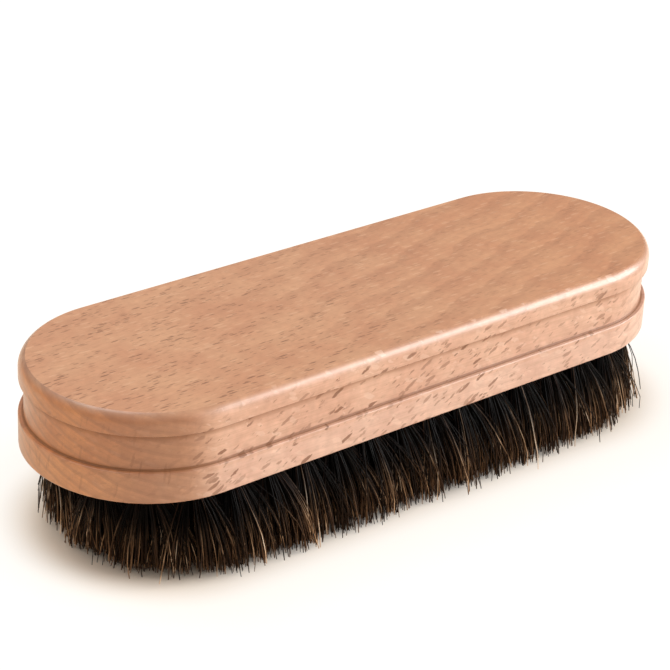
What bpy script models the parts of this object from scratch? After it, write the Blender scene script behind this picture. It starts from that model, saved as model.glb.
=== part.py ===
"""A leather cleaning brush: one routed beech block with horsehair tufts set in drilled holes.

Each tuft is a bundle of hair folded over a short flat anchor wire near the blind end of its hole. The
wire bites into the wood on both sides, and the free ends of the hair fan out and are trimmed flat.
The brush stands on its bristle tips at Z = 0, its length runs along X and its origin is under its centre.
All sizes are in metres.
"""

import math
import random
from collections import namedtuple

import bmesh
import bpy
from mathutils import Matrix, Vector

# Block
BLOCK_LENGTH = 0.1500
BLOCK_WIDTH = 0.0500
BLOCK_THICKNESS = 0.0185
END_SEGMENTS = 28

# Routed side of the block, from the top down
EDGE_INSET = 0.0014  # from the rim's face in to the edge of the flat top
EDGE_DROP = 0.0024  # from the top face down to where the rounded edge meets the rim's face
RIM_HEIGHT = 0.0020  # the upright face under the rounded edge
RIM_SETBACK = 0.00015  # from the flange's face in to the rim's
GROOVE_DEPTH = 0.0011  # from the flange's face in to the upright wall of the finger groove
GROOVE_TOP_ROUND = 0.0006  # hollow corner between the wall and the rim's underside
GROOVE_FOOT_ROUND = 0.00025  # hollow corner between the wall and the flange's ledge
FLANGE_HEIGHT = 0.0065
LIP_ROUND = 0.0003
BOTTOM_ROUND = 0.0005

# Drilled holes and their pattern: two rings of holes, one inside the other
HOLE_RADIUS = 0.0024
HOLE_DEPTH = 0.0110
HOLE_SIDES = 8
EDGE_DISTANCE = 0.0067  # from the flange's face to the outer ring's hole centres, along the sides
END_SETBACK = 0.0015  # how much further in both rings turn at the ends
OUTER_TUFTS = 38
INNER_TUFTS = 20
INNER_RING_SHARE = 1 / 3  # of the outer ring's half width, so that the four long rows are equally spaced

# Anchor wires
WIRE_THICKNESS = 0.0005
WIRE_HEIGHT = 0.0020
WIRE_BITE = 0.0007  # how far each end is driven into the hole's wall
BIGHT_THICKNESS = 0.0014  # hair that passes over the wire

# Bristles
BRISTLE_LENGTH = 0.0185
ROOT_CLEARANCE = 0.0003  # round the folded root, and between the hair and the wire
ROOT_PROUD = 0.0004  # how far the bundle stands out of its hole before it parts
BEND_AT = 0.45  # where a strand bends, as a share of its free length
BEND_SHARE = 0.42  # share of the fan reached there
BEND_SCALE = 0.58  # strand section at the bend, as a share of its section at the root
TIP_SCALE = 0.34  # the same, at the tip
TIP_GAP = 0.0004  # least room between the tips of neighbouring tufts
TIP_INSET = 0.0006  # from the flange's face in to the line that the outer tips reach
END_ROOM_SHARE = 0.6  # share of a ring's radius that the tufts on its round ends may lean inward
SQUARE_REACH_SHARE = 0.80  # of a tuft's own room, for the strands that lean along or across its ring
CORNER_REACH_SHARE = 1.20  # the same, for the strands that lean to the room's corners
REACH_JITTER_SHARE = 0.06
TURN_JITTER_DEG = 5
SEED = 7

BLOCK_BOTTOM = BRISTLE_LENGTH
END_RADIUS = BLOCK_WIDTH / 2
STRAIGHT_HALF = (BLOCK_LENGTH - BLOCK_WIDTH) / 2
ROOT_RADIUS = HOLE_RADIUS - ROOT_CLEARANCE
ROOT_TOP = HOLE_DEPTH - ROOT_CLEARANCE
WIRE_TOP = ROOT_TOP - BIGHT_THICKNESS - ROOT_CLEARANCE
RING_STRAIGHT_HALF = STRAIGHT_HALF - END_SETBACK
OUTER_RING = END_RADIUS - EDGE_DISTANCE
INNER_RING = OUTER_RING * INNER_RING_SHARE
ROW_GAP = OUTER_RING - INNER_RING
OUTER_FLARE = EDGE_DISTANCE - TIP_INSET


def clear_scene():
    for old in list(bpy.data.objects):
        bpy.data.objects.remove(old, do_unlink=True)


def new_collection(name):
    collection = bpy.data.collections.new(name)
    bpy.context.scene.collection.children.link(collection)
    return collection


def add_object(name, mesh, collection, material=None):
    obj = bpy.data.objects.new(name, mesh)
    collection.objects.link(obj)
    if material:
        mesh.materials.append(material)
    return obj


def add_helper(name, mesh, collection):
    """A cutter or a fused piece: it shapes another object and isn't a part by itself."""
    helper = add_object(name, mesh, collection)
    helper.hide_render = True
    helper.display_type = "WIRE"
    return helper


def finish(name, color, roughness, coat=0.0):
    material = bpy.data.materials.new(name)
    material.use_nodes = True
    shader = material.node_tree.nodes["Principled BSDF"]
    shader.inputs["Base Color"].default_value = (*color, 1)
    shader.inputs["Roughness"].default_value = roughness
    shader.inputs["Metallic"].default_value = 0.0
    shader.inputs["Coat Weight"].default_value = coat
    material.diffuse_color = (*color, 1)
    return material


def arc(centre, radius, start_deg, end_deg, steps):
    """Points of an arc in the (outward, up) plane, both ends included."""
    turn = [math.radians(start_deg + (end_deg - start_deg) * i / steps) for i in range(steps + 1)]
    return [(centre[0] + radius * math.cos(a), centre[1] + radius * math.sin(a)) for a in turn]


def side_profile():
    """The block's side as (outward from the flange's face, height above the underside), from the top down."""
    rim_face = -RIM_SETBACK
    edge_radius = (EDGE_INSET**2 + EDGE_DROP**2) / (2 * EDGE_INSET)
    edge_start = math.degrees(math.asin(EDGE_DROP / edge_radius))
    edge_bottom = BLOCK_THICKNESS - EDGE_DROP
    edge = arc((rim_face - edge_radius, edge_bottom), edge_radius, edge_start, 0, 5)
    rim_bottom = edge_bottom - RIM_HEIGHT
    top_corner = (GROOVE_TOP_ROUND - GROOVE_DEPTH, rim_bottom - GROOVE_TOP_ROUND)
    under_rim = [(rim_face, rim_bottom), *arc(top_corner, GROOVE_TOP_ROUND, 90, 180, 4)]
    foot_corner = (GROOVE_FOOT_ROUND - GROOVE_DEPTH, FLANGE_HEIGHT + GROOVE_FOOT_ROUND)
    foot = arc(foot_corner, GROOVE_FOOT_ROUND, 180, 270, 3)
    lip = arc((-LIP_ROUND, FLANGE_HEIGHT - LIP_ROUND), LIP_ROUND, 90, 0, 2)
    bottom = arc((-BOTTOM_ROUND, BOTTOM_ROUND), BOTTOM_ROUND, 0, -90, 2)
    return edge + under_rim + foot + lip + bottom


def sweep_round_block(profile):
    """Sweeps the profile round the block's outline: a half turn at each end and a straight run on each side."""
    bm = bmesh.new()
    corners = [bm.verts.new((STRAIGHT_HALF, -END_RADIUS - out, up)) for out, up in profile]
    edges = [bm.edges.new(pair) for pair in zip(corners, corners[1:])]
    for side in (1, -1):
        turned = bmesh.ops.spin(
            bm,
            geom=corners + edges,
            cent=(side * STRAIGHT_HALF, 0, 0),
            axis=(0, 0, 1),
            angle=math.pi,
            steps=END_SEGMENTS,
        )["geom_last"]
        edges = [part for part in turned if isinstance(part, bmesh.types.BMEdge)]
        run = bmesh.ops.extrude_edge_only(bm, edges=edges)["geom"]
        corners = [part for part in run if isinstance(part, bmesh.types.BMVert)]
        edges = [part for part in run if isinstance(part, bmesh.types.BMEdge)]
        bmesh.ops.translate(bm, verts=corners, vec=(-side * 2 * STRAIGHT_HALF, 0, 0))
    bmesh.ops.remove_doubles(bm, verts=bm.verts, dist=1e-6)
    bmesh.ops.holes_fill(bm, edges=[edge for edge in bm.edges if edge.is_boundary])
    bmesh.ops.recalc_face_normals(bm, faces=bm.faces)
    return bm


def block_mesh():
    bm = sweep_round_block(side_profile())
    mesh = bpy.data.meshes.new("handle_block")
    bm.to_mesh(mesh)
    bm.free()
    mesh.shade_smooth()
    mesh.set_sharp_from_angle(angle=math.radians(25))
    return mesh


def prism_mesh(name, radius, bottom, top):
    """A prism with HOLE_SIDES sides, two of them square to X."""
    bm = bmesh.new()
    place = Matrix.Translation((0, 0, (bottom + top) / 2)) @ Matrix.Rotation(math.pi / HOLE_SIDES, 4, "Z")
    bmesh.ops.create_cone(
        bm, cap_ends=True, segments=HOLE_SIDES, radius1=radius, radius2=radius, depth=top - bottom, matrix=place
    )
    mesh = bpy.data.meshes.new(name)
    bm.to_mesh(mesh)
    bm.free()
    return mesh


def bar_mesh(name, length, thickness, bottom, top):
    """A bar along X."""
    bm = bmesh.new()
    bmesh.ops.create_cube(
        bm,
        size=1,
        matrix=Matrix.Translation((0, 0, (bottom + top) / 2)) @ Matrix.Diagonal((length, thickness, top - bottom, 1)),
    )
    mesh = bpy.data.meshes.new(name)
    bm.to_mesh(mesh)
    bm.free()
    return mesh


Site = namedtuple("Site", "name ring along pitch outward_room inward_room")


def ring_length(radius):
    return 4 * RING_STRAIGHT_HALF + 2 * math.pi * radius


def on_ring(radius, along, outward=0.0):
    """The place that lies along a ring and outward of it by these distances, and its direction outward."""
    straight = 2 * RING_STRAIGHT_HALF
    half_length = ring_length(radius) / 2
    side = 1 if along % (2 * half_length) < half_length else -1
    along %= half_length
    turn = max(0.0, along - straight) / radius
    foot = Vector((side * (min(along, straight) - RING_STRAIGHT_HALF), 0, 0))
    normal = side * Vector((math.sin(turn), math.cos(turn), 0))
    return foot + normal * (radius + outward), normal


def tuft_sites():
    """One site for each tuft, set out from the middle of the block's far side, so the pattern is symmetric."""
    sites = []
    rings = (
        ("outer", OUTER_RING, OUTER_TUFTS, OUTER_FLARE, ROW_GAP / 2),
        ("inner", INNER_RING, INNER_TUFTS, ROW_GAP / 2, INNER_RING),
    )
    for ring, radius, count, outward_room, inward_room in rings:
        pitch = ring_length(radius) / count
        for i in range(count):
            along = RING_STRAIGHT_HALF + (i + 0.5) * pitch
            on_end = abs(on_ring(radius, along)[0].x) > RING_STRAIGHT_HALF
            inward = min(inward_room, END_ROOM_SHARE * radius) if on_end else inward_room
            sites.append(Site(f"tuft_{ring}_{i + 1:02d}", radius, along, pitch, outward_room, inward))
    return sites


def site_matrix(site):
    """Where a tuft stands: its X runs along its ring and its Y points outward from the block's middle."""
    place, outward = on_ring(site.ring, site.along)
    along = Vector((outward.y, -outward.x, 0))
    turn = Matrix((along, outward, (0, 0, 1))).transposed().to_4x4()
    return Matrix.Translation(place + Vector((0, 0, BLOCK_BOTTOM))) @ turn


def folded_root_mesh(helpers):
    """The bundle's folded end: a prism that fills its hole, with a window where the anchor wire passes through."""
    root = add_object("folded_root", prism_mesh("folded_root", ROOT_RADIUS, -ROOT_PROUD, ROOT_TOP), helpers)
    window = bar_mesh(
        "wire_window",
        4 * HOLE_RADIUS,
        WIRE_THICKNESS + 2 * ROOT_CLEARANCE,
        WIRE_TOP - WIRE_HEIGHT - ROOT_CLEARANCE,
        WIRE_TOP + ROOT_CLEARANCE,
    )
    cut = root.modifiers.new("wire_window", "BOOLEAN")
    cut.operation = "DIFFERENCE"
    cut.object = add_helper("wire_window", window, helpers)
    root.hide_render = True
    root.display_type = "WIRE"
    graph = bpy.context.evaluated_depsgraph_get()
    return bpy.data.meshes.new_from_object(root.evaluated_get(graph))


def extend_strand(bm, face, target, scale):
    """Extends a strand from its end face to target, and makes its section there scale times as large."""
    end = bmesh.ops.extrude_discrete_faces(bm, faces=[face])["faces"][0]
    centre = end.calc_center_median()
    for vert in end.verts:
        vert.co = target + (vert.co - centre) * scale
    return end


def strand_tip(site, angle, reach):
    """Where a strand ends. Each tuft's tips stay in the tuft's own room, so that no strands cross."""
    tip_radius = ROOT_RADIUS * math.sin(math.pi / HOLE_SIDES) * TIP_SCALE
    margin = tip_radius + TIP_GAP / 2
    side_room = site.outward_room if math.sin(angle) > 0 else site.inward_room
    run = reach * (site.pitch / 2 - margin) * math.cos(angle)
    out = reach * (side_room - margin) * math.sin(angle)
    return on_ring(site.ring, site.along + run, out)[0]


def tuft_mesh(site, matrix, root_mesh, rng):
    """A tuft: its folded root, and the strands that part from the root's end and fan out to the trimmed tips."""
    bm = bmesh.new()
    bm.from_mesh(root_mesh)
    mouth = min(bm.faces, key=lambda face: face.calc_center_median().z)
    sectors = bmesh.ops.poke(bm, faces=[mouth])["faces"]
    to_tuft = matrix.inverted()
    for face in sectors:
        centre = face.calc_center_median()
        angle = math.atan2(centre.y, centre.x)
        leans_square = round(angle / (math.tau / HOLE_SIDES)) % 2 == 0
        reach = SQUARE_REACH_SHARE if leans_square else CORNER_REACH_SHARE
        reach += rng.uniform(-REACH_JITTER_SHARE, REACH_JITTER_SHARE)
        angle += math.radians(rng.uniform(-TURN_JITTER_DEG, TURN_JITTER_DEG))
        tip = to_tuft @ strand_tip(site, angle, reach)
        bend = centre.lerp(tip, BEND_SHARE)
        bend.z = centre.z + (tip.z - centre.z) * BEND_AT
        bent = extend_strand(bm, face, bend, BEND_SCALE)
        extend_strand(bm, bent, tip, TIP_SCALE / BEND_SCALE)
    bmesh.ops.recalc_face_normals(bm, faces=bm.faces)
    mesh = bpy.data.meshes.new(site.name)
    bm.to_mesh(mesh)
    bm.free()
    return mesh


def fuse(block, name, operation, collection):
    modifier = block.modifiers.new(name, "BOOLEAN")
    modifier.operation = operation
    modifier.operand_type = "COLLECTION"
    modifier.collection = collection
    modifier.solver = "EXACT"


def build():
    clear_scene()
    parts = new_collection("leather_brush")
    helpers = new_collection("helpers")
    drills = new_collection("drills")
    wires = new_collection("anchor_wires")
    beech = finish("beech", (0.62, 0.36, 0.21), 0.45, coat=0.15)
    horsehair = finish("horsehair", (0.035, 0.022, 0.016), 0.5)
    brush = bpy.data.objects.new("brush", None)
    parts.objects.link(brush)

    block = add_object("handle_block", block_mesh(), parts, beech)
    block.location.z = BLOCK_BOTTOM
    block.parent = brush

    rng = random.Random(SEED)
    root_mesh = folded_root_mesh(helpers)
    drill_mesh = prism_mesh("drill", HOLE_RADIUS, -HOLE_DEPTH, HOLE_DEPTH)
    wire_length = 2 * (HOLE_RADIUS * math.cos(math.pi / HOLE_SIDES) + WIRE_BITE)
    wire_mesh = bar_mesh("anchor_wire", wire_length, WIRE_THICKNESS, WIRE_TOP - WIRE_HEIGHT, WIRE_TOP)
    for site in tuft_sites():
        matrix = site_matrix(site)
        add_helper(f"drill_{site.name}", drill_mesh, drills).matrix_world = matrix
        add_helper(f"wire_{site.name}", wire_mesh, wires).matrix_world = matrix
        tuft = add_object(site.name, tuft_mesh(site, matrix, root_mesh, rng), parts, horsehair)
        tuft.parent = brush
        tuft.matrix_world = matrix
    fuse(block, "drilled_holes", "DIFFERENCE", drills)
    fuse(block, "anchor_wires", "UNION", wires)


build()
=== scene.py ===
"""The looks of a leather cleaning brush: a routed beech block and its horsehair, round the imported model.

The block and every tuft are made again here, finer, in the places that the frame gives.
The brush stands on its bristle tips on the floor at Z = 0, and its length runs along X.
Sizes are in metres.
"""

import math

import bmesh
import bpy
from mathutils import Matrix, Vector


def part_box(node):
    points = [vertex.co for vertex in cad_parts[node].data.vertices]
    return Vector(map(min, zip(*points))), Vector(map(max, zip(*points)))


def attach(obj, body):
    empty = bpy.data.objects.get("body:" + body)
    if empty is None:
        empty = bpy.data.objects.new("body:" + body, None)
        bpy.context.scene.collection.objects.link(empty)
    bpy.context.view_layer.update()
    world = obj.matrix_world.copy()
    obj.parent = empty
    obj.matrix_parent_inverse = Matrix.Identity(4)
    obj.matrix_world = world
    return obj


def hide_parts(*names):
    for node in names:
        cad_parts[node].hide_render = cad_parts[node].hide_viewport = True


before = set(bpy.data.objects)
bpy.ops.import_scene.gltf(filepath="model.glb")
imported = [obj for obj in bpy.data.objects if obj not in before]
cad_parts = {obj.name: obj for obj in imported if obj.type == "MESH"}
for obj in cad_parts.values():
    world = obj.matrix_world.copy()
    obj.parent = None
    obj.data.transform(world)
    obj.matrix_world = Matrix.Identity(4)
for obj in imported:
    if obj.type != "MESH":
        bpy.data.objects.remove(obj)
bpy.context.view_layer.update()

# The photograph's viewpoint
PHOTO_PIXELS = 670
CAMERA_AZIMUTH = math.radians(-40.004)
CAMERA_ELEVATION = math.radians(26.756)
CAMERA_ROLL = math.radians(2.907)
CAMERA_DISTANCE = 0.47902
CAMERA_SHIFT_RIGHT = -0.00215
CAMERA_SHIFT_UP = 0.0234
CAMERA_LIFT = 0.00055
FOCAL_PIXELS = 2286.85
SENSOR_WIDTH = 36.0

# Light
BRIGHTEST_WAY = (-0.3, 0.1, 0.95)
ROOM_LOWEST = 0.22
ROOM_HIGHEST = 0.73
ROOM_WHITE = (1.0, 0.985, 0.97, 1)
LAMP_AIM = Vector((0, 0, 0.03))

# Floor
FLOOR_HALF = 1.5
PAPER = (0.92, 0.785, 0.64, 1)
LIT_PAPER = (1, 0.975, 0.94, 1)
LIT_PAPER_STRENGTH = 1.1

# Side of the block, from the top down
EDGE_INSET = 0.0014
EDGE_DROP = 0.0024
RIM_HEIGHT = 0.0020
RIM_SETBACK = 0.00015
RIM_ARRIS = 0.00015
GROOVE_DEPTH = 0.0011
GROOVE_TOP_ROUND = 0.0006
GROOVE_FOOT_ROUND = 0.00025
FLANGE_HEIGHT = 0.0065
LIP_ROUND = 0.0003
BOTTOM_ROUND = 0.0005
CORNER_SEGMENTS = 48
SHARP_ANGLE = math.radians(13)

# Drilled holes
HOLE_RADIUS = 0.0024
HOLE_DEPTH = 0.0110
HOLE_SIDES = 24
EDGE_DISTANCE = 0.0067
END_SETBACK = 0.0015

# Hair
OUTER_HAIRS = 720
INNER_HAIRS = 380
SIDE_FLARE = 0.0086
END_FLARE = 0.0028
END_LIFT = 0.0025
TIP_LEAN = 0.0025
RIGHT_END_LEAN_SHARE = 0.4
GOLDEN_ANGLE = 2.39996
NUMBERS_PER_TUFT = 4096.0

# What all tufts share, by the names of the hair group's inputs
HAIR_FORM = {
    "Root Radius": HOLE_RADIUS - 0.0001,
    "Root Depth": 0.003,
    "Corner Fill": 0.9,
    "Clump Scale": 3.6,
    "Clump Pull": 0.7,
    "Clump Lean": 0.0022,
    "Clump Step": 0.0012,
    "Tip Scatter": 0.0012,
    "Tip Height Spread": 0.0016,
    "Stray Share": 0.13,
    "Stray Reach": 0.0018,
    "Wobble": 0.00035,
    "Hair Radius": 0.00012,
    "Tip Taper": 0.8,
    "Points": 8,
    "Sides": 3,
}

# Hair colours from the commonest to the rarest; tips are multiplied by painted light from the white floor,
# roots by painted shade
HAIR_TONES = [
    (0.0, (0.006, 0.003, 0.0017)),
    (0.35, (0.011, 0.006, 0.0032)),
    (0.55, (0.03, 0.016, 0.009)),
    (0.7, (0.075, 0.043, 0.023)),
    (0.82, (0.17, 0.105, 0.06)),
    (0.9, (0.34, 0.235, 0.15)),
    (1.0, (0.46, 0.385, 0.31)),
]
HAIR_TIP_LIGHT = (2.0, 1.8, 1.6)
HAIR_ROOT_SHADE = (0.08, 0.052, 0.045)

# Wood colours, and factors that a colour is multiplied by
TOP_PINK = (0.58, 0.268, 0.137)
TOP_TAN = (0.64, 0.328, 0.173)
TOP_RIGHT_FACTOR = (1.0, 0.93, 0.84)
# Side colours are painted paler than the top's, as painted sheen
SIDE_PINK = (0.655, 0.37, 0.255)
SIDE_PALE = (0.73, 0.445, 0.315)
# Painted shade, with warm bounce, round the left end, which faces away from the lamp
LEFT_END_SHADE = (0.68, 0.52, 0.37)
LEFT_END_MIDDLE_SHADE = (0.88, 0.58, 0.28)
FLANGE_FACTOR = (1.04, 1.11, 1.2)
# Painted shade on the turned edge below the flat top
TURNED_EDGE_SHADE = (0.82, 0.82, 0.82)
SPECKLE_DARK_FACTOR = (0.6, 0.56, 0.52)
SPECKLE_PALE_FACTOR = (1.38, 1.4, 1.42)
FIBRE_BROWN = (0.38, 0.17, 0.085)
LATE_WOOD = (0.3, 0.12, 0.055)
# Painted highlight: pale dashes where light catches the pores' edges
PORE_GLINT_COLOR = (0.9, 0.56, 0.34)
DARK_PORE = (0.17, 0.052, 0.014)
PALE_RAY = (0.9, 0.66, 0.52)
DARK_RAY = (0.2, 0.065, 0.018)
# Painted shade and gathered finish in the groove's creases
CREASE_SHADE_AND_FINISH = (0.23, 0.085, 0.022)

# Marks in the wood. Each lies in a slanting cell of a length, depth and width, and share says how many
# cells hold one. Its radius is a share of the cell, and its waviness shifts its edge.
MARK_INPUTS = ("Slant", "Length", "Depth", "Width", "Share", "Radius", "Waviness")
PORES = (0.0, 0.0034, 0.0006, 0.0012, 0.9, 0.32, 0.0003)
FINE_PORES = (0.0, 0.0026, 0.0005, 0.001, 0.85, 0.36, 0.0002)
# Painted highlights beside the pores
PORE_GLINT_MARKS = (0.0, 0.0036, 0.0008, 0.0014, 0.6, 0.38, 0.0003)
RAYS = (math.radians(30), 0.0046, 0.001, 0.0012, 0.6, 0.35, 0.0008)
LOW_RAYS = (math.radians(16), 0.0038, 0.001, 0.0012, 0.32, 0.34, 0.0008)
FINE_RAYS = (math.radians(26), 0.0022, 0.001, 0.0007, 0.45, 0.38, 0.0006)
PALE_RAYS = (math.radians(-24), 0.0036, 0.001, 0.0013, 0.7, 0.42, 0.0012)
END_LINES = (math.radians(80), 0.006, 0.001, 0.0009, 0.55, 0.3, 0.0005)

BLOCK_LOW, BLOCK_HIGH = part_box("handle_block")
BLOCK_LENGTH = BLOCK_HIGH.x - BLOCK_LOW.x
BLOCK_WIDTH = BLOCK_HIGH.y - BLOCK_LOW.y
BLOCK_THICKNESS = BLOCK_HIGH.z - BLOCK_LOW.z
UNDERSIDE = BLOCK_LOW.z
STRAIGHT_HALF = (BLOCK_LENGTH - BLOCK_WIDTH) / 2


def add(tree, kind, inputs=None, **settings):
    """Adds a node. An input is given by its name or number, as a value or as the output that feeds it."""
    node = tree.nodes.new(kind)
    for name, value in settings.items():
        setattr(node, name, value)
    for socket, value in (inputs or {}).items():
        if isinstance(value, bpy.types.NodeSocket):
            tree.links.new(value, node.inputs[socket])
        else:
            node.inputs[socket].default_value = value
    return node


def made(tree, kind, inputs=None, **settings):
    """The first output of a new node."""
    return add(tree, kind, inputs, **settings).outputs[0]


def calc(tree, operation, first, second=0.0, third=0.0):
    """A Math node's result."""
    return made(tree, "ShaderNodeMath", {0: first, 1: second, 2: third}, operation=operation)


def times(tree, value, *factors):
    """The product of all the values."""
    for factor in factors:
        value = calc(tree, "MULTIPLY", value, factor)
    return value


def largest(tree, value, *others):
    """The largest of all the values."""
    for other in others:
        value = calc(tree, "MAXIMUM", value, other)
    return value


def blend(tree, share, first, second):
    """A value between first and second."""
    return made(tree, "ShaderNodeMix", {0: share, 2: first, 3: second})


def map_range(tree, value, low, high, start=0.0, end=1.0):
    """Goes smoothly from start to end while value goes from low to high."""
    inputs = {0: value, 1: low, 2: high, 3: start, 4: end}
    return made(tree, "ShaderNodeMapRange", inputs, interpolation_type="SMOOTHSTEP")


def vector_calc(tree, operation, first, second=(0, 0, 0)):
    """A Vector Math node's result."""
    return made(tree, "ShaderNodeVectorMath", {0: first, 1: second}, operation=operation)


def scaled(tree, vector, scale):
    """A vector made longer or shorter."""
    return made(tree, "ShaderNodeVectorMath", {0: vector, "Scale": scale}, operation="SCALE")


def moved(tree, place, way, distance):
    """A place that is moved along a way by a distance."""
    return vector_calc(tree, "ADD", place, scaled(tree, way, distance))


def dot(tree, first, second):
    """The dot product of two vectors."""
    node = add(tree, "ShaderNodeVectorMath", {0: first, 1: second}, operation="DOT_PRODUCT")
    return node.outputs["Value"]


def split(tree, vector):
    """A vector's X, Y and Z."""
    return add(tree, "ShaderNodeSeparateXYZ", {0: vector}).outputs


def combined(tree, x=0.0, y=0.0, z=0.0):
    """A vector from its X, Y and Z."""
    return made(tree, "ShaderNodeCombineXYZ", {0: x, 1: y, 2: z})


def noise(tree, place, scale, detail, roughness=0.5, output="Fac"):
    """A Noise Texture's value or colour at a place."""
    inputs = {"Vector": place, "Scale": scale, "Detail": detail, "Roughness": roughness}
    return add(tree, "ShaderNodeTexNoise", inputs).outputs[output]


def chance(tree, low, high, number, seed):
    """A random value between low and high for each number, which stays the same at each run."""
    return add(tree, "FunctionNodeRandomValue", {2: low, 3: high, 7: number, 8: seed}).outputs[1]


def ramp(tree, value, stops):
    """A colour ramp with (place, colour) stops."""
    node = add(tree, "ShaderNodeValToRGB", {0: value})
    elements = node.color_ramp.elements
    while len(elements) < len(stops):
        elements.new(1.0)
    for element, (place, color) in zip(elements, stops):
        element.position = place
        element.color = (*color, 1)
    return node.outputs[0]


def tint(tree, share, base, color, blend_type="MIX"):
    """Lays a colour over base by share."""
    node = add(tree, "ShaderNodeMix", {0: share}, data_type="RGBA", blend_type=blend_type)
    for socket, value in ((6, base), (7, color)):
        if isinstance(value, bpy.types.NodeSocket):
            tree.links.new(value, node.inputs[socket])
        else:
            node.inputs[socket].default_value = (*value, 1)
    return node.outputs[2]


def new_group(name, kind, inputs, outputs):
    """A node group with named sockets, and its input and output nodes."""
    group = bpy.data.node_groups.new(name, kind)
    for socket_name, socket_type, default in inputs:
        socket = group.interface.new_socket(socket_name, in_out="INPUT", socket_type=socket_type)
        if default is not None:
            socket.default_value = default
    for socket_name, socket_type in outputs:
        group.interface.new_socket(socket_name, in_out="OUTPUT", socket_type=socket_type)
    return group, group.nodes.new("NodeGroupInput"), group.nodes.new("NodeGroupOutput")


def modified(name, mesh, group, values):
    """The plain mesh that a Geometry Nodes group makes of mesh, with its inputs set by their names."""
    source = bpy.data.objects.new(name + "_source", mesh)
    bpy.context.scene.collection.objects.link(source)
    modifier = source.modifiers.new(group.name, "NODES")
    modifier.node_group = group
    for item in group.interface.items_tree:
        if item.item_type == "SOCKET" and item.in_out == "INPUT" and item.name in values:
            modifier[item.identifier] = values[item.name]
    graph = bpy.context.evaluated_depsgraph_get()
    result = bpy.data.meshes.new_from_object(source.evaluated_get(graph), depsgraph=graph)
    bpy.data.objects.remove(source)
    result.name = name
    return result


def line_mesh(name, points):
    """A mesh of edges from each point to the next."""
    mesh = bpy.data.meshes.new(name)
    mesh.from_pydata(points, [(i, i + 1) for i in range(len(points) - 1)], [])
    return mesh


def arc(centre, radius, start, end, steps):
    """Points on a circle from one angle to another, in degrees."""
    turns = [math.radians(start + (end - start) * i / steps) for i in range(steps + 1)]
    return [(centre[0] + radius * math.cos(turn), centre[1] + radius * math.sin(turn)) for turn in turns]


def side_profile():
    """The block's side from the top down, as (outward from the flange's face, up from the underside)."""
    rim_face = -RIM_SETBACK
    radius = (EDGE_INSET**2 + EDGE_DROP**2) / (2 * EDGE_INSET)
    start = math.degrees(math.asin(EDGE_DROP / radius))
    edge_bottom = BLOCK_THICKNESS - EDGE_DROP
    edge = arc((rim_face - radius, edge_bottom), radius, start, 0, 18)
    rim_bottom = edge_bottom - RIM_HEIGHT
    arris = arc((rim_face - RIM_ARRIS, rim_bottom + RIM_ARRIS), RIM_ARRIS, 0, -90, 4)
    top_corner = (GROOVE_TOP_ROUND - GROOVE_DEPTH, rim_bottom - GROOVE_TOP_ROUND)
    under_rim = arc(top_corner, GROOVE_TOP_ROUND, 90, 180, 10)
    foot_corner = (GROOVE_FOOT_ROUND - GROOVE_DEPTH, FLANGE_HEIGHT + GROOVE_FOOT_ROUND)
    foot = arc(foot_corner, GROOVE_FOOT_ROUND, 180, 270, 6)
    lip = arc((-LIP_ROUND, FLANGE_HEIGHT - LIP_ROUND), LIP_ROUND, 90, 0, 6)
    bottom = arc((-BOTTOM_ROUND, BOTTOM_ROUND), BOTTOM_ROUND, 0, -90, 6)
    return edge + arris + under_rim + foot + lip + bottom


def tuft_roots():
    """Each tuft's CAD node and the middle of its hole's mouth, from the node's top inside the wood."""
    roots = {}
    for name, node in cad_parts.items():
        if not name.startswith("tuft_"):
            continue
        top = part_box(name)[1].z
        inside = [vert.co for vert in node.data.vertices if vert.co.z > top - 0.0005]
        middle = sum(inside, Vector()) / len(inside)
        roots[name] = Vector((middle.x, middle.y, UNDERSIDE))
    return roots


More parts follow.
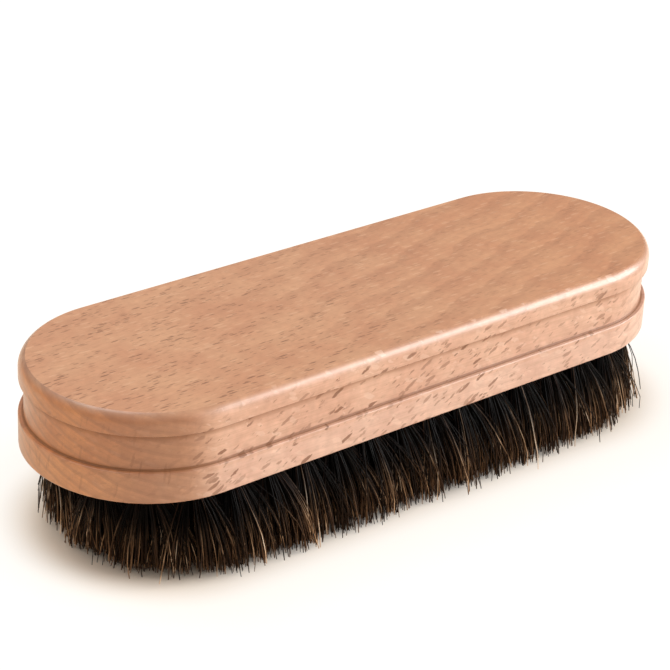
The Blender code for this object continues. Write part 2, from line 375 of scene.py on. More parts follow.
def routed_block_group():
    """Sweeps a side profile round a round-ended outline, closes it with flat faces and drills the holes."""
    group, given, result = new_group(
        "routed_block",
        "GeometryNodeTree",
        [
            ("Profile", "NodeSocketGeometry", None),
            ("Length", "NodeSocketFloat", 0.15),
            ("Width", "NodeSocketFloat", 0.05),
            ("Thickness", "NodeSocketFloat", 0.0185),
            ("Underside", "NodeSocketFloat", 0.0185),
            ("Corner Segments", "NodeSocketInt", 48),
            ("Hole Places", "NodeSocketObject", None),
            ("Hole Radius", "NodeSocketFloat", 0.0024),
            ("Hole Depth", "NodeSocketFloat", 0.011),
            ("Hole Sides", "NodeSocketInt", 24),
            ("Material", "NodeSocketMaterial", None),
        ],
        [("Block", "NodeSocketGeometry")],
    )
    size = given.outputs
    box = {"Width": size["Length"], "Height": size["Width"]}
    outline = made(group, "GeometryNodeCurvePrimitiveQuadrilateral", box)
    corners = {
        "Curve": outline,
        "Count": size["Corner Segments"],
        "Radius": times(group, size["Width"], 0.5),
        "Limit Radius": True,
    }
    rounded = made(group, "GeometryNodeFilletCurve", corners, mode="POLY")
    loop = made(group, "GeometryNodeCurveToMesh", {"Curve": rounded})
    loop = made(group, "GeometryNodeMergeByDistance", {"Geometry": loop, "Distance": 1e-5})
    path = made(group, "GeometryNodeMeshToCurve", {0: loop})
    profile = made(group, "GeometryNodeMeshToCurve", {0: size["Profile"]})
    side = made(group, "GeometryNodeCurveToMesh", {"Curve": path, "Profile Curve": profile})

    # A flat face closes each open end of the sweep.
    neighbours = made(group, "GeometryNodeInputMeshEdgeNeighbors")
    is_open = made(group, "FunctionNodeCompare", {2: neighbours, 3: 1}, data_type="INT", operation="EQUAL")
    height = split(group, made(group, "GeometryNodeInputPosition"))[2]
    middle = times(group, size["Thickness"], 0.5)
    faces = [side]
    for operation, level in (("GREATER_THAN", size["Thickness"]), ("LESS_THAN", 0.0)):
        both = {0: is_open, 1: calc(group, operation, height, middle)}
        chosen = made(group, "FunctionNodeBooleanMath", both, operation="AND")
        edge = made(group, "GeometryNodeMeshToCurve", {0: side, 1: chosen})
        cap = made(group, "GeometryNodeFillCurve", {"Curve": edge}, mode="NGONS")
        lift = combined(group, z=level)
        faces.append(made(group, "GeometryNodeTransform", {"Geometry": cap, "Translation": lift}))
    joined = add(group, "GeometryNodeJoinGeometry")
    for face in reversed(faces):
        group.links.new(face, joined.inputs[0])
    closed = made(group, "GeometryNodeMergeByDistance", {"Geometry": joined.outputs[0], "Distance": 5e-6})
    lift = combined(group, z=size["Underside"])
    block = made(group, "GeometryNodeTransform", {"Geometry": closed, "Translation": lift})

    drill_size = {
        "Vertices": size["Hole Sides"],
        "Radius": size["Hole Radius"],
        "Depth": times(group, size["Hole Depth"], 2.0),
    }
    drill = made(group, "GeometryNodeMeshCylinder", drill_size)
    places = add(group, "GeometryNodeObjectInfo", {"Object": size["Hole Places"]}).outputs["Geometry"]
    drills = made(group, "GeometryNodeInstanceOnPoints", {"Points": places, "Instance": drill})
    cutters = made(group, "GeometryNodeRealizeInstances", {0: drills})
    meshes = {"Mesh 1": block, "Mesh 2": cutters}
    drilled = made(group, "GeometryNodeMeshBoolean", meshes, operation="DIFFERENCE", solver="EXACT")
    whole = made(group, "GeometryNodeRealizeInstances", {0: drilled})
    finished = made(group, "GeometryNodeSetMaterial", {"Geometry": whole, "Material": size["Material"]})
    group.links.new(finished, result.inputs[0])
    return group


def make_block(roots, material):
    """The routed block, with a hole for each tuft."""
    profile = side_profile()
    # The sweep puts a profile's X outward of the outline and its Y downward.
    mesh = line_mesh("block_profile", [(outward, -up, 0) for outward, up in profile])
    places = bpy.data.objects.new("hole_places", bpy.data.meshes.new("hole_places"))
    places.data.from_pydata([tuple(root) for root in roots.values()], [], [])
    bpy.context.scene.collection.objects.link(places)
    values = {
        "Length": BLOCK_LENGTH,
        "Width": BLOCK_WIDTH,
        "Thickness": BLOCK_THICKNESS,
        "Underside": UNDERSIDE,
        "Corner Segments": CORNER_SEGMENTS,
        "Hole Places": places,
        "Hole Radius": HOLE_RADIUS,
        "Hole Depth": HOLE_DEPTH,
        "Hole Sides": HOLE_SIDES,
        "Material": material,
    }
    result = modified("block", mesh, routed_block_group(), values)
    bpy.data.objects.remove(places)
    bm = bmesh.new()
    bm.from_mesh(result)
    bmesh.ops.recalc_face_normals(bm, faces=bm.faces)
    bm.to_mesh(result)
    bm.free()
    result.shade_smooth()
    result.set_sharp_from_angle(angle=SHARP_ANGLE)
    block = bpy.data.objects.new("block", result)
    bpy.context.scene.collection.objects.link(block)
    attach(block, "root")
    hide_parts("handle_block")


def hair_tuft_group():
    """Grows one tuft: hairs packed in a drilled hole part at its mouth, fan out and clump at the tips."""
    group, given, result = new_group(
        "hair_tuft",
        "GeometryNodeTree",
        [
            ("Geometry", "NodeSocketGeometry", None),
            ("Hairs", "NodeSocketInt", 300),
            ("Seed", "NodeSocketInt", 1),
            ("Place", "NodeSocketVector", None),
            ("Along", "NodeSocketVector", None),
            ("Outward", "NodeSocketVector", None),
            ("Curvature", "NodeSocketFloat", 0.0),
            ("Root Radius", "NodeSocketFloat", 0.0023),
            ("Root Depth", "NodeSocketFloat", 0.003),
            ("Along Room", "NodeSocketFloat", 0.004),
            ("Outward Room", "NodeSocketFloat", 0.006),
            ("Inward Room", "NodeSocketFloat", 0.006),
            ("Lean", "NodeSocketVector", None),
            ("Corner Fill", "NodeSocketFloat", 0.7),
            ("Clump Scale", "NodeSocketFloat", 2.4),
            ("Clump Pull", "NodeSocketFloat", 0.8),
            ("Clump Lean", "NodeSocketFloat", 0.001),
            ("Clump Step", "NodeSocketFloat", 0.001),
            ("Tip Scatter", "NodeSocketFloat", 0.0005),
            ("Tip Height Spread", "NodeSocketFloat", 0.001),
            ("Outer Lift", "NodeSocketFloat", 0.0),
            ("Stray Share", "NodeSocketFloat", 0.06),
            ("Stray Reach", "NodeSocketFloat", 0.003),
            ("Wobble", "NodeSocketFloat", 0.0004),
            ("Hair Radius", "NodeSocketFloat", 0.0001),
            ("Tip Taper", "NodeSocketFloat", 0.6),
            ("Points", "NodeSocketInt", 8),
            ("Sides", "NodeSocketInt", 3),
            ("Material", "NodeSocketMaterial", None),
        ],
        [("Tuft", "NodeSocketGeometry")],
    )
    size = given.outputs
    line = made(group, "GeometryNodeCurvePrimitiveLine", {"Start": (0, 0, 0), "End": (0, 0, 1)})
    line = made(group, "GeometryNodeResampleCurve", {"Curve": line, "Count": size["Points"]})
    spots = made(group, "GeometryNodePoints", {"Count": size["Hairs"]})
    copies = made(group, "GeometryNodeInstanceOnPoints", {"Points": spots, "Instance": line})
    hairs = made(group, "GeometryNodeRealizeInstances", {0: copies})
    index = add(group, "GeometryNodeCurveOfPoint").outputs["Curve Index"]
    number = calc(group, "MULTIPLY_ADD", size["Seed"], NUMBERS_PER_TUFT, index)
    share = add(group, "GeometryNodeSplineParameter").outputs["Factor"]

    # Where a hair stands in its hole, as a place in a unit disc
    radius = calc(group, "SQRT", calc(group, "DIVIDE", calc(group, "ADD", index, 0.5), size["Hairs"]))
    angle = calc(group, "MULTIPLY_ADD", index, GOLDEN_ANGLE, chance(group, -0.2, 0.2, number, 1))
    across = times(group, radius, calc(group, "COSINE", angle))
    out = times(group, radius, calc(group, "SINE", angle))
    spot = combined(group, across, out)

    # Its tip is drawn to the middle of its clump.
    shift = times(group, size["Seed"], 7.31)
    clump_at = {0: spot, 1: size["Clump Scale"], 2: shift}
    clump_at = made(group, "ShaderNodeVectorMath", clump_at, operation="MULTIPLY_ADD")
    cells = add(group, "ShaderNodeTexVoronoi", {"Vector": clump_at, "Scale": 1.0}, voronoi_dimensions="2D")
    middle = vector_calc(group, "SUBTRACT", cells.outputs["Position"], shift)
    middle = vector_calc(group, "DIVIDE", middle, size["Clump Scale"])
    to_middle = vector_calc(group, "MULTIPLY", vector_calc(group, "SUBTRACT", middle, spot), (1, 1, 0))
    pull = times(group, size["Clump Pull"], chance(group, 0.2, 1.0, number, 2))
    tip_spot = moved(group, spot, to_middle, pull)

    # The disc is stretched over the tuft's room, which bends with its ring.
    cut = split(group, tip_spot)
    longest = largest(group, calc(group, "ABSOLUTE", cut[0]), calc(group, "ABSOLUTE", cut[1]))
    length = add(group, "ShaderNodeVectorMath", {0: tip_spot}, operation="LENGTH").outputs["Value"]
    stretch = calc(group, "DIVIDE", length, largest(group, longest, 0.001))
    stretch = blend(group, size["Corner Fill"], 1.0, stretch)
    run = times(group, cut[0], stretch, size["Along Room"])
    reach = times(group, cut[1], stretch)
    outward = times(group, largest(group, reach, 0.0), size["Outward Room"])
    inward = times(group, calc(group, "MINIMUM", reach, 0.0), size["Inward Room"])
    reach = calc(group, "ADD", outward, inward)
    widened = calc(group, "MULTIPLY_ADD", reach, size["Curvature"], 1.0)
    sagitta = times(group, run, run, size["Curvature"])
    reach = calc(group, "MULTIPLY_ADD", sagitta, -0.5, reach)
    run = times(group, run, widened)

    # Root and tip, from the middle of the hole's mouth
    root = scaled(group, size["Along"], times(group, across, size["Root Radius"]))
    root = moved(group, root, size["Outward"], times(group, out, size["Root Radius"]))
    tip = moved(group, scaled(group, size["Along"], run), size["Outward"], reach)
    tip = vector_calc(group, "ADD", tip, size["Lean"])
    stray = calc(group, "LESS_THAN", chance(group, 0.0, 1.0, number, 3), size["Stray Share"])
    scatter = calc(group, "MULTIPLY_ADD", stray, size["Stray Reach"], size["Tip Scatter"])
    any_way = combined(group, chance(group, -1.0, 1.0, number, 4), chance(group, -1.0, 1.0, number, 5))
    tip = moved(group, tip, any_way, scatter)
    clump = split(group, cells.outputs["Color"])
    clump_lean = times(group, calc(group, "MULTIPLY_ADD", clump[1], 2.0, -1.0), size["Clump Lean"])
    tip = moved(group, tip, size["Along"], clump_lean)

    # A hair leaves its hole upright and turns outward, and some end a little above the floor.
    drop = calc(group, "ADD", split(group, size["Place"])[2], size["Root Depth"])
    hidden = calc(group, "DIVIDE", size["Root Depth"], drop)
    free = calc(group, "SUBTRACT", share, hidden)
    free = largest(group, calc(group, "DIVIDE", free, calc(group, "SUBTRACT", 1.0, hidden)), 0.0)
    fan = times(group, free, calc(group, "MULTIPLY_ADD", free, -0.75, 1.75))
    short = chance(group, 0.0, 1.0, number, 6)
    short = times(group, short, short, size["Tip Height Spread"])
    short = calc(group, "MULTIPLY_ADD", times(group, clump[2], clump[2]), size["Clump Step"], short)
    short = calc(group, "MULTIPLY_ADD", map_range(group, cut[1], 0.35, 1.0), size["Outer Lift"], short)
    span = calc(group, "SUBTRACT", drop, calc(group, "ADD", short, size["Hair Radius"]))
    height = calc(group, "MULTIPLY_ADD", span, times(group, share, -1.0), drop)
    place = moved(group, root, vector_calc(group, "SUBTRACT", tip, root), fan)
    place = vector_calc(group, "ADD", place, vector_calc(group, "MULTIPLY", size["Place"], (1, 1, 0)))
    sway_at = combined(group, times(group, number, 0.717), times(group, free, 2.2), 3.7)
    sway = noise(group, sway_at, 1.0, 0.0, output="Color")
    sway = scaled(group, vector_calc(group, "SUBTRACT", sway, (0.5, 0.5, 0.5)), 4.0)
    sway = vector_calc(group, "MULTIPLY", sway, (1, 1, 0))
    place = moved(group, place, sway, times(group, size["Wobble"], free, calc(group, "ADD", stray, 1.0)))
    place = vector_calc(group, "ADD", place, combined(group, z=height))
    hairs = made(group, "GeometryNodeSetPosition", {"Geometry": hairs, "Position": place})

    # What the hair's material reads
    tone = blend(group, 0.3, chance(group, 0.0, 1.0, number, 7), clump[0])
    tone = calc(group, "MULTIPLY_ADD", stray, 0.1, tone)
    for name, value in (("tone", tone), ("along", free)):
        stored = {"Geometry": hairs, "Name": name, "Value": value}
        hairs = made(group, "GeometryNodeStoreNamedAttribute", stored)

    thickness = times(group, size["Hair Radius"], chance(group, 0.75, 1.2, number, 8))
    taper = blend(group, times(group, share, share), 1.0, size["Tip Taper"])
    section = made(group, "GeometryNodeCurvePrimitiveCircle", {"Resolution": size["Sides"], "Radius": 1.0})
    skin = {
        "Curve": hairs,
        "Profile Curve": section,
        "Scale": times(group, thickness, taper),
        "Fill Caps": True,
    }
    skin = made(group, "GeometryNodeCurveToMesh", skin)
    whole = made(group, "GeometryNodeRealizeInstances", {0: skin})
    smooth = made(group, "GeometryNodeSetShadeSmooth", {"Geometry": whole})
    finished = made(group, "GeometryNodeSetMaterial", {"Geometry": smooth, "Material": size["Material"]})
    group.links.new(finished, result.inputs[0])
    return group


def make_tufts(roots, material):
    """One piece of hair for each tuft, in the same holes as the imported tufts."""
    group = hair_tuft_group()
    ring_straight_half = STRAIGHT_HALF - END_SETBACK
    outer_ring = BLOCK_WIDTH / 2 - EDGE_DISTANCE
    row_gap = outer_ring * 2 / 3
    for number, (name, root) in enumerate(sorted(roots.items())):
        foot = Vector((max(-ring_straight_half, min(ring_straight_half, root.x)), 0, UNDERSIDE))
        outward = (root - foot).normalized()
        ring = (root - foot).length
        on_end = abs(root.x) > ring_straight_half
        outer = name.startswith("tuft_outer")
        count = sum(other.startswith(name[:10]) for other in roots)
        pitch = (4 * ring_straight_half + 2 * math.pi * ring) / count
        end_share = min(1.0, abs(root.x / (ring_straight_half + ring)) ** 5) if outer else 0.0
        lean = TIP_LEAN
        if root.x > 0:
            lean *= 1 + (RIGHT_END_LEAN_SHARE - 1) * end_share
        values = HAIR_FORM | {
            "Hairs": OUTER_HAIRS if outer else INNER_HAIRS,
            "Seed": number + 1,
            "Place": root,
            "Along": Vector((outward.y, -outward.x, 0)),
            "Outward": outward,
            "Curvature": 1 / ring if on_end else 0.0,
            "Along Room": pitch,
            "Outward Room": SIDE_FLARE + (END_FLARE - SIDE_FLARE) * end_share if outer else row_gap * 0.6,
            "Inward Room": row_gap * 0.5 if outer else min(ring, row_gap * 0.6),
            "Lean": Vector((lean, 0, 0)),
            "Outer Lift": END_LIFT * end_share,
            "Material": material,
        }
        piece_name = name.replace("tuft", "hair")
        mesh = modified(piece_name, bpy.data.meshes.new(piece_name), group, values)
        piece = bpy.data.objects.new(piece_name, mesh)
        bpy.context.scene.collection.objects.link(piece)
        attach(piece, "root")
        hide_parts(name)


def shader_material(name):
    """A material with an empty Principled shader, as (material, tree, shader node)."""
    material = bpy.data.materials.new(name)
    material.use_nodes = True
    return material, material.node_tree, material.node_tree.nodes["Principled BSDF"]


def horsehair_material():
    """Nearly black hair with single brown, tan and grey ones; the tips are painted paler as painted light
    from the floor, and the roots darker as painted shade.
    """
    material, tree, shader = shader_material("horsehair")
    tone = add(tree, "ShaderNodeAttribute", attribute_name="tone").outputs["Fac"]
    along = add(tree, "ShaderNodeAttribute", attribute_name="along").outputs["Fac"]
    change = noise(tree, combined(tree, times(tree, tone, 173.0), along), 3.0, 1.0)
    change = times(tree, calc(tree, "SUBTRACT", change, 0.55), 0.7)
    color = ramp(tree, calc(tree, "ADD", tone, change), HAIR_TONES)
    # Painted light: the tips are made paler, standing in for light bounced from the white floor.
    color = tint(tree, map_range(tree, along, 0.4, 1.0), color, HAIR_TIP_LIGHT, "MULTIPLY")
    # Painted shade: the hair near the roots, under the block, is darkened; the palest hairs a little less.
    near_root = map_range(tree, along, 0.75, 0.3)
    shaded = times(tree, near_root, map_range(tree, tone, 0.86, 0.95, 1.0, 0.75))
    color = tint(tree, shaded, color, HAIR_ROOT_SHADE, "MULTIPLY")
    tree.links.new(color, shader.inputs["Base Color"])
    shader.inputs["Roughness"].default_value = 0.42
    shader.inputs["Specular IOR Level"].default_value = 0.09
    return material


def marks_group():
    """Scattered spindle-shaped marks in a wood: the mask of those that a surface cuts through."""
    group, given, result = new_group(
        "wood_marks",
        "ShaderNodeTree",
        [
            ("Vector", "NodeSocketVector", None),
            ("Slant", "NodeSocketFloat", 0.0),
            ("Length", "NodeSocketFloat", 0.005),
            ("Depth", "NodeSocketFloat", 0.001),
            ("Width", "NodeSocketFloat", 0.0006),
            ("Share", "NodeSocketFloat", 0.4),
            ("Radius", "NodeSocketFloat", 0.35),
            ("Waviness", "NodeSocketFloat", 0.0004),
        ],
        [("Mask", "NodeSocketFloat")],
    )
    size = given.outputs
    warp = noise(group, size["Vector"], 600.0, 2.0, 0.6, "Color")
    warp = vector_calc(group, "SUBTRACT", warp, (0.5, 0.5, 0.5))
    place = {"Vector": moved(group, size["Vector"], warp, size["Waviness"]), "Angle": size["Slant"]}
    place = made(group, "ShaderNodeVectorRotate", place, rotation_type="Y_AXIS")
    cell = combined(group, size["Length"], size["Depth"], size["Width"])
    place = vector_calc(group, "DIVIDE", place, cell)
    cells = add(group, "ShaderNodeTexVoronoi", {"Vector": place, "Scale": 1.0})
    dice = add(group, "ShaderNodeSeparateColor", {0: cells.outputs["Color"]}).outputs
    kept = calc(group, "LESS_THAN", dice[0], size["Share"])
    radius = times(group, size["Radius"], calc(group, "MULTIPLY_ADD", dice[1], 0.7, 0.5))
    near = calc(group, "SUBTRACT", 1.0, calc(group, "DIVIDE", cells.outputs["Distance"], radius))
    strength = calc(group, "MULTIPLY_ADD", dice[2], 0.6, 0.4)
    mask = times(group, map_range(group, near, 0.0, 0.3), kept, strength)
    group.links.new(mask, result.inputs[0])
    return group


def wrapped_side_group():
    """Coordinates round the block's outline, from the middle of either long side, and up its height.

    The inset is how far a point lies in from the flange's face.
    """
    group, given, result = new_group(
        "wrapped_side",
        "ShaderNodeTree",
        [
            ("Vector", "NodeSocketVector", None),
            ("Straight Half", "NodeSocketFloat", 0.05),
            ("Radius", "NodeSocketFloat", 0.025),
        ],
        [("Vector", "NodeSocketVector"), ("Inset", "NodeSocketFloat")],
    )
    at = split(group, given.outputs["Vector"])
    half = given.outputs["Straight Half"]
    radius = given.outputs["Radius"]
    length = calc(group, "ABSOLUTE", at[0])
    past = largest(group, calc(group, "SUBTRACT", length, half), 0.0)
    turn = calc(group, "ARCTAN2", past, calc(group, "ABSOLUTE", at[1]))
    run = calc(group, "MULTIPLY_ADD", turn, radius, calc(group, "MINIMUM", length, half))
    run = times(group, run, calc(group, "SIGN", at[0]))
    group.links.new(combined(group, x=run, z=at[2]), result.inputs[0])
    out = calc(group, "SQRT", calc(group, "MULTIPLY_ADD", past, past, times(group, at[1], at[1])))
    group.links.new(calc(group, "SUBTRACT", radius, out), result.inputs[1])
    return group


def streaks_group():
    """Fibre along the grain, growth rings that lie nearly flat in the board, and mottling, from 0 to 1."""
    group, given, result = new_group(
        "wood_streaks",
        "ShaderNodeTree",
        [
            ("Vector", "NodeSocketVector", None),
            ("Fibre Length", "NodeSocketFloat", 0.012),
            ("Fibre Width", "NodeSocketFloat", 0.00025),
            ("Ring Normal", "NodeSocketVector", (-0.105, 0.35, -1.0)),
            ("Ring Width", "NodeSocketFloat", 0.0026),
            ("Ring Drift", "NodeSocketFloat", 0.9),
            ("Mottle Size", "NodeSocketFloat", 0.012),
        ],
        [("Fibre", "NodeSocketFloat"), ("Rings", "NodeSocketFloat"), ("Mottle", "NodeSocketFloat")],
    )
    size = given.outputs
    cell = combined(group, size["Fibre Length"], size["Fibre Width"], size["Fibre Width"])
    fibre = noise(group, vector_calc(group, "DIVIDE", size["Vector"], cell), 1.0, 3.0, 0.6)
    depth = calc(group, "DIVIDE", dot(group, size["Vector"], size["Ring Normal"]), size["Ring Width"])
    drift = calc(group, "SUBTRACT", noise(group, size["Vector"], 38.0, 4.0, 0.6), 0.5)
    drifted = calc(group, "MULTIPLY_ADD", drift, times(group, size["Ring Drift"], 2.0), depth)
    ring = calc(group, "FRACT", drifted)
    late = times(group, map_range(group, ring, 0.1, 0.9), map_range(group, ring, 1.0, 0.92), 0.7)
    between = calc(group, "PINGPONG", times(group, ring, 4.0), 1.0)
    rings = calc(group, "MULTIPLY_ADD", map_range(group, between, 0.55, 1.0), 0.3, late)
    mottle_at = scaled(group, size["Vector"], calc(group, "DIVIDE", 1.0, size["Mottle Size"]))
    mottle = noise(group, mottle_at, 1.0, 3.0, 0.6)
    for socket, value in enumerate((fibre, rings, mottle)):
        group.links.new(value, result.inputs[socket])
    return group


def beech_material():
    """Clear-finished beech: fine pores on top, slanting ray flecks on the sides, faint growth bands."""
    material, tree, shader = shader_material("beech")
    where = add(tree, "ShaderNodeTexCoord").outputs["Object"]
    at = split(tree, where)
    length = at[0]
    height = at[2]
    top_face = UNDERSIDE + BLOCK_THICKNESS
    edge_bottom = top_face - EDGE_DROP
    rim_bottom = edge_bottom - RIM_HEIGHT + 0.00001
    ledge = UNDERSIDE + FLANGE_HEIGHT
    on_top = calc(tree, "GREATER_THAN", height, top_face - 0.00002)
    on_side = calc(tree, "SUBTRACT", 1.0, on_top)
    fibre, rings, mottle = add(tree, "ShaderNodeGroup", {"Vector": where}, node_tree=streaks_group()).outputs
    outline = {"Vector": where, "Straight Half": STRAIGHT_HALF, "Radius": BLOCK_WIDTH / 2}
    side, inset = add(tree, "ShaderNodeGroup", outline, node_tree=wrapped_side_group()).outputs
    run = split(tree, side)[0]
    on_end = map_range(tree, calc(tree, "ABSOLUTE", run), STRAIGHT_HALF, STRAIGHT_HALF + 0.012)
    marks = marks_group()

    def marked(place, form):
        inputs = {"Vector": place, **dict(zip(MARK_INPUTS, form))}
        return made(tree, "ShaderNodeGroup", inputs, node_tree=marks)

    # Flat top: pinkish and tan patches, redder towards the right
    patches = map_range(tree, mottle, 0.32, 0.68)
    top = tint(tree, patches, TOP_PINK, TOP_TAN)
    top = tint(tree, map_range(tree, length, -0.01, 0.07), top, TOP_RIGHT_FACTOR, "MULTIPLY")
    # Sides: painted paler and less saturated than the top, as painted sheen; browner round the left end as
    # painted shade
    # Painted sheen: the side colours are paler and less saturated than the top's.
    side_color = tint(tree, patches, SIDE_PINK, SIDE_PALE)
    # Painted shade with warm bounce round the left end, which faces away from the lamp.
    to_middle = map_range(tree, run, -0.06, -0.082)
    left_end_shade = tint(tree, to_middle, LEFT_END_SHADE, LEFT_END_MIDDLE_SHADE)
    side_color = tint(tree, map_range(tree, run, -0.048, -0.06), side_color, left_end_shade, "MULTIPLY")
    on_flange = map_range(tree, height, ledge, ledge - 0.0015)
    side_color = tint(tree, on_flange, side_color, FLANGE_FACTOR, "MULTIPLY")
    # The turned edge goes from one to the other, and is darkened as painted shade.
    below_edge = map_range(tree, height, top_face, top_face - 0.0011)
    color = tint(tree, times(tree, on_side, below_edge), top, side_color)
    turned_edge = times(tree, on_side, calc(tree, "SUBTRACT", 1.0, below_edge))
    color = tint(tree, turned_edge, color, TURNED_EDGE_SHADE, "MULTIPLY")

    # Speckle, fibre and growth rings
    speckle = tint(tree, noise(tree, where, 620.0, 2.0), SPECKLE_DARK_FACTOR, SPECKLE_PALE_FACTOR)
    color = tint(tree, blend(tree, on_side, 0.35, 0.5), color, speckle, "MULTIPLY")
    color = tint(tree, map_range(tree, fibre, 0.42, 0.7, 0.0, 0.22), color, FIBRE_BROWN)
    top_rings = map_range(tree, length, -0.045, 0.02, 0.12, 0.3)
    ring_share = blend(tree, on_side, top_rings, blend(tree, on_end, 0.12, 0.42))
    color = tint(tree, times(tree, rings, ring_share), color, LATE_WOOD)

    # Pores on the flat top, most in the growth bands and towards the left
    # Painted highlights: pale dashes beside the pores, where light catches their edges.
    color = tint(tree, times(tree, on_top, marked(where, PORE_GLINT_MARKS), 0.3), color, PORE_GLINT_COLOR)
    in_bands = map_range(tree, rings, 0.1, 0.5, 0.25, 1.0)
    pore_share = times(tree, in_bands, map_range(tree, length, 0.03, -0.03, 0.35, 1.0), 0.75)
    pores = largest(tree, marked(where, PORES), times(tree, marked(where, FINE_PORES), 0.8))
    pores = times(tree, on_top, pores, pore_share)
    color = tint(tree, pores, color, DARK_PORE)

    # Ray flecks on the sides, and upright lines on the ends
    pale_share = times(tree, on_side, blend(tree, on_end, 0.3, 0.05), marked(side, PALE_RAYS))
    color = tint(tree, pale_share, color, PALE_RAY)
    fine_rays = times(tree, marked(side, FINE_RAYS), 0.6)
    rays = largest(tree, marked(side, RAYS), marked(side, LOW_RAYS), fine_rays)
    rays = times(tree, rays, blend(tree, on_end, 1.0, 0.25))
    rays = largest(tree, rays, times(tree, marked(side, END_LINES), on_end, 0.35))
    rays = times(tree, rays, map_range(tree, height, edge_bottom, edge_bottom + 0.001, 1.0, 0.2), on_side)
    color = tint(tree, times(tree, rays, 0.85), color, DARK_RAY)

    # Painted shade and gathered finish under the rim and in the foot of the finger groove, where the coat is
    # also thinner.
    in_groove = calc(tree, "LESS_THAN", height, rim_bottom)
    in_groove = times(tree, in_groove, map_range(tree, inset, 0.0005, 0.0009))
    from_foot = calc(tree, "ABSOLUTE", calc(tree, "SUBTRACT", height, ledge))
    under_rim = map_range(tree, height, rim_bottom - 0.002, rim_bottom - 0.0004, 0.0, 0.5)
    foot_crease = map_range(tree, from_foot, 0.0006, 0.0001, 0.0, 0.75)
    shade_and_finish = times(tree, largest(tree, under_rim, foot_crease), in_groove)
    color = tint(tree, shade_and_finish, color, CREASE_SHADE_AND_FINISH)
    tree.links.new(color, shader.inputs["Base Color"])

    dark = largest(tree, pores, rays)
    roughness = calc(tree, "MULTIPLY_ADD", dark, 0.2, 0.38)
    roughness = calc(tree, "MULTIPLY_ADD", fibre, 0.1, roughness)
    tree.links.new(roughness, shader.inputs["Roughness"])
    relief = calc(tree, "MULTIPLY_ADD", fibre, 0.25, times(tree, dark, -1.0))
    bump = made(tree, "ShaderNodeBump", {"Height": relief, "Strength": 0.5, "Distance": 0.00008})
    tree.links.new(bump, shader.inputs["Normal"])
    tree.links.new(calc(tree, "MULTIPLY_ADD", shade_and_finish, -1.0, 0.85), shader.inputs["Coat Weight"])
    shader.inputs["Coat Roughness"].default_value = 0.28
    return material


def place_camera():
    """Stands the camera where the photograph was taken from."""
    camera = bpy.data.objects.new("camera", bpy.data.cameras.new("camera"))
    bpy.context.scene.collection.objects.link(camera)
    camera.data.sensor_fit = "HORIZONTAL"
    camera.data.sensor_width = SENSOR_WIDTH
    camera.data.lens = SENSOR_WIDTH * FOCAL_PIXELS / PHOTO_PIXELS
    camera.data.clip_start = 0.01
    back = Vector((
        math.sin(CAMERA_AZIMUTH) * math.cos(CAMERA_ELEVATION),
        -math.cos(CAMERA_AZIMUTH) * math.cos(CAMERA_ELEVATION),
        math.sin(CAMERA_ELEVATION),
    ))
    level_right = Vector((0, 0, 1)).cross(back).normalized()
    level_up = back.cross(level_right)
    right = level_right * math.cos(CAMERA_ROLL) + level_up * math.sin(CAMERA_ROLL)
    up = back.cross(right)
    place = back * CAMERA_DISTANCE + right * CAMERA_SHIFT_RIGHT + up * CAMERA_SHIFT_UP
    place.z += CAMERA_LIFT
    turn = Matrix((right, up, back)).transposed().to_4x4()
    camera.matrix_world = Matrix.Translation(place) @ turn
    bpy.context.scene.camera = camera


def set_view():
    """Plain colours, so that white paper reads as white."""
    view = bpy.context.scene.view_settings
    view.view_transform = "Standard"
    view.look = "None"
    view.exposure = 0.0
    view.gamma = 1.0


def light_world():
    """A pale room, brighter overhead and to the left. The camera sees plain white."""
    world = bpy.data.worlds.new("studio")
    bpy.context.scene.world = world
    world.use_nodes = True
    tree = world.node_tree
    tree.nodes.clear()
    way = add(tree, "ShaderNodeTexCoord").outputs["Generated"]
    strength = map_range(tree, dot(tree, way, BRIGHTEST_WAY), 0.0, 1.0, ROOM_LOWEST, ROOM_HIGHEST)
    soft = made(tree, "ShaderNodeBackground", {"Color": ROOM_WHITE, "Strength": strength})
    white = made(tree, "ShaderNodeBackground", {"Color": (1, 1, 1, 1), "Strength": 1.0})
    seen = add(tree, "ShaderNodeLightPath").outputs["Is Camera Ray"]
    shown = made(tree, "ShaderNodeMixShader", {0: seen, 1: soft, 2: white})
    add(tree, "ShaderNodeOutputWorld", {"Surface": shown})


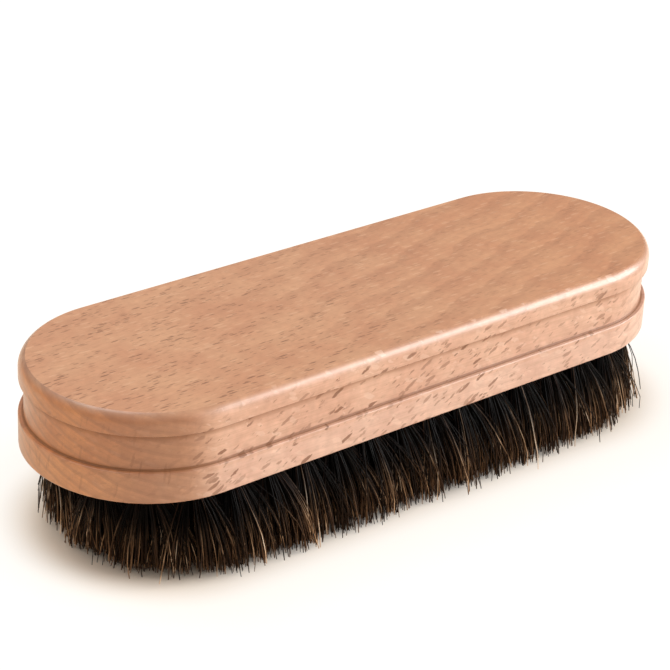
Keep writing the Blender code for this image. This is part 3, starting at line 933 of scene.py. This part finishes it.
def lay_floor():
    """White paper that the camera sees brighter than it is lit, so that only the nearest shadow shows."""
    mesh = bpy.data.meshes.new("floor")
    half = FLOOR_HALF
    corners = [(-half, -half, 0), (half, -half, 0), (half, half, 0), (-half, half, 0)]
    mesh.from_pydata(corners, [], [(0, 1, 2, 3)])
    floor = bpy.data.objects.new("floor", mesh)
    bpy.context.scene.collection.objects.link(floor)
    material = bpy.data.materials.new("floor_paper")
    material.use_nodes = True
    tree = material.node_tree
    tree.nodes.clear()
    paper = made(tree, "ShaderNodeBsdfDiffuse", {"Color": PAPER})
    white = made(tree, "ShaderNodeEmission", {"Color": LIT_PAPER, "Strength": LIT_PAPER_STRENGTH})

    # The paper turns white with its distance from the block's outline, and sooner on the left.
    at = split(tree, add(tree, "ShaderNodeTexCoord").outputs["Object"])
    past_side = calc(tree, "SUBTRACT", calc(tree, "ABSOLUTE", at[0]), STRAIGHT_HALF)
    past_side = largest(tree, past_side, 0.0)
    past = calc(tree, "SQRT", calc(tree, "MULTIPLY_ADD", past_side, past_side, times(tree, at[1], at[1])))
    to_left = map_range(tree, at[0], -0.05, -0.09, 0.0, 0.004)
    away = calc(tree, "ADD", calc(tree, "SUBTRACT", past, BLOCK_WIDTH / 2), to_left)
    far_away = calc(tree, "MULTIPLY_ADD", to_left, 2.5, away)
    near_share = map_range(tree, away, -0.004, 0.009, 0.0, 0.74)
    far_share = map_range(tree, far_away, 0.002, 0.034, 0.0, 0.25)
    seen = add(tree, "ShaderNodeLightPath").outputs["Is Camera Ray"]
    share = times(tree, calc(tree, "ADD", near_share, far_share), seen)
    shown = made(tree, "ShaderNodeMixShader", {0: share, 1: paper, 2: white})
    add(tree, "ShaderNodeOutputMaterial", {"Surface": shown})
    mesh.materials.append(material)


def add_softbox(name, place, size, power):
    """A rectangular area lamp that faces the brush."""
    lamp = bpy.data.lights.new(name, "AREA")
    lamp.shape = "RECTANGLE"
    lamp.size, lamp.size_y = size
    lamp.energy = power
    softbox = bpy.data.objects.new(name, lamp)
    softbox.location = place
    softbox.rotation_euler = (LAMP_AIM - Vector(place)).to_track_quat("-Z", "Y").to_euler()
    bpy.context.scene.collection.objects.link(softbox)


def main():
    place_camera()
    set_view()
    light_world()
    lay_floor()
    add_softbox("overhead", place=(-0.4, 0.5, 1.9), size=(1.2, 1.2), power=14.5)
    add_softbox("front_right", place=(1.8, -1.15, 0.88), size=(1.6, 1.25), power=57)
    roots = tuft_roots()
    make_block(roots, beech_material())
    make_tufts(roots, horsehair_material())


main()
